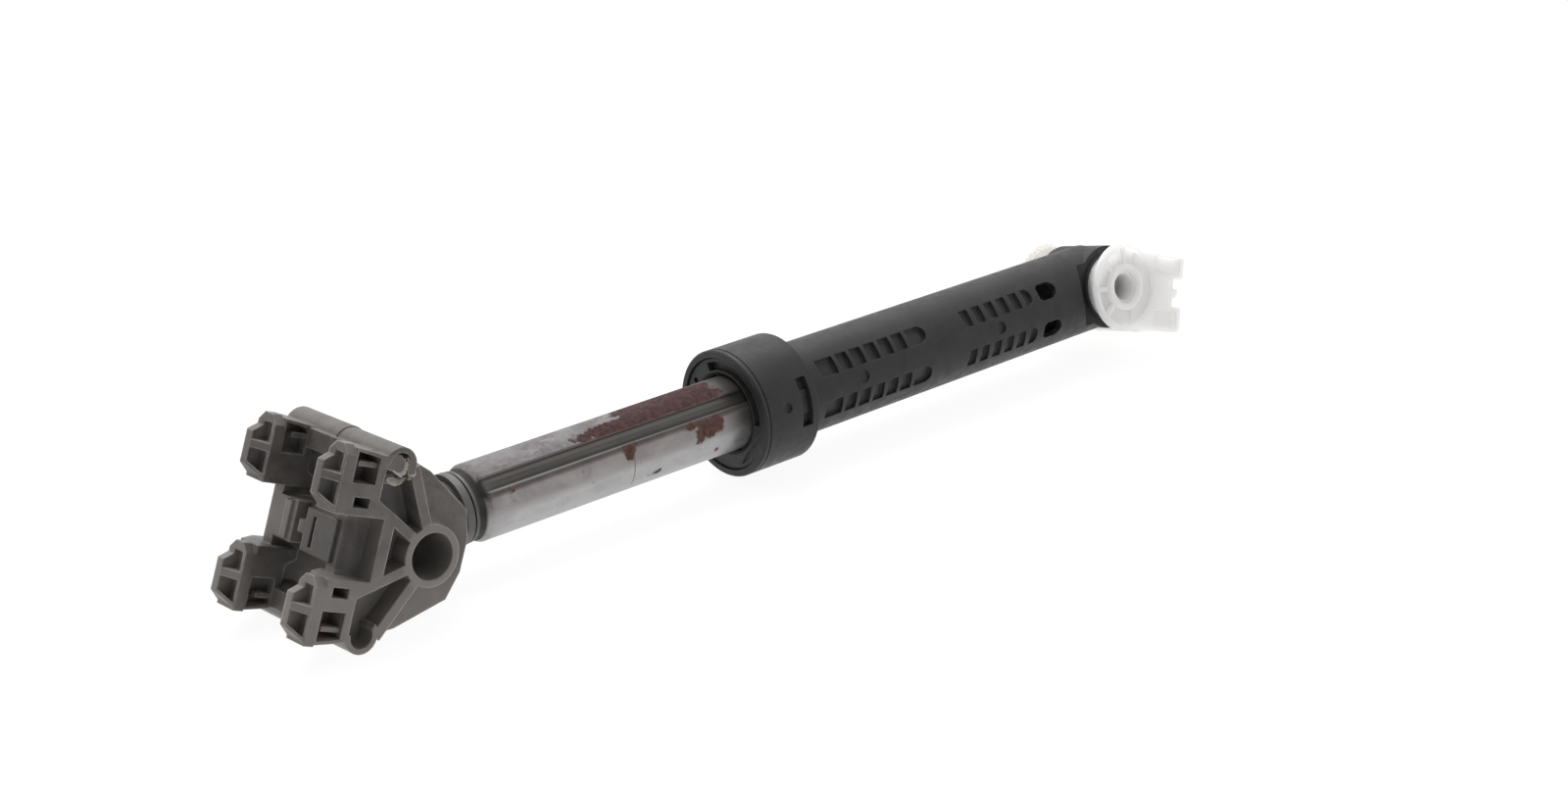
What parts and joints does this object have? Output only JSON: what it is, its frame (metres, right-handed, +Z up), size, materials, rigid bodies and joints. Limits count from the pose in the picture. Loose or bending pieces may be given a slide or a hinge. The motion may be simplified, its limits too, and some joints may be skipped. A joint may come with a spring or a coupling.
{
  "type": "washing machine shock absorber",
  "caption": "Friction damper with a steel tube sliding in a black moulded housing, and pivoting clip brackets in two halves at both ends.",
  "frame": {"origin": "middle of the lower bracket's through bore, on the tube axis", "axes": "+X along the tube towards the upper pivot, +Y along the lower bore, +Z up with the damper lying on its brackets"},
  "size_m": [0.3445, 0.0468, 0.0598],
  "materials": {
    "black_plastic": "moulded satin black",
    "grey_plastic": "moulded satin warm grey",
    "light_grey_plastic": "moulded satin light grey",
    "white_plastic": "translucent natural white",
    "steel": "rolled steel with rust patches",
    "rubber": "matt black rubber",
    "foam": "greased open-cell foam"
  },
  "bodies": {
    "housing": {"housing": "black_plastic", "retaining_ring": "black_plastic", "friction_lining": "foam", "lining_backing_ring": "black_plastic", "end_stop": "rubber", "upper_bush_near": "rubber", "upper_bush_far": "rubber"},
    "tube": {"steel_tube": "steel", "tube_guide_ring": "black_plastic"},
    "lower_eye": {"lower_eye": "light_grey_plastic", "lower_bush_near": "rubber", "lower_bush_far": "rubber"},
    "lower_bracket": {"lower_bracket_near": "grey_plastic", "lower_bracket_far": "grey_plastic"},
    "upper_bracket": {"upper_bracket_near": "white_plastic", "upper_bracket_far": "white_plastic"}
  },
  "joints": [
    {"name": "stroke", "type": "slide", "parent": "housing", "child": "tube", "axis": [1, 0, 0], "range_m": [-0.0175, 0.0915]},
    {"name": "plug_twist", "type": "hinge", "parent": "tube", "child": "lower_eye", "pos_m": [0.03, 0, 0], "axis": [1, 0, 0], "continuous": true},
    {"name": "lower_pivot", "type": "hinge", "parent": "lower_eye", "child": "lower_bracket", "pos_m": [0, 0, 0], "axis": [0, 1, 0], "range_deg": [-105, 60]},
    {"name": "upper_pivot", "type": "hinge", "parent": "housing", "child": "upper_bracket", "pos_m": [0.274, 0, 0], "axis": [0, 0.9816, -0.1908], "range_deg": [-100, 62]}
  ]
}
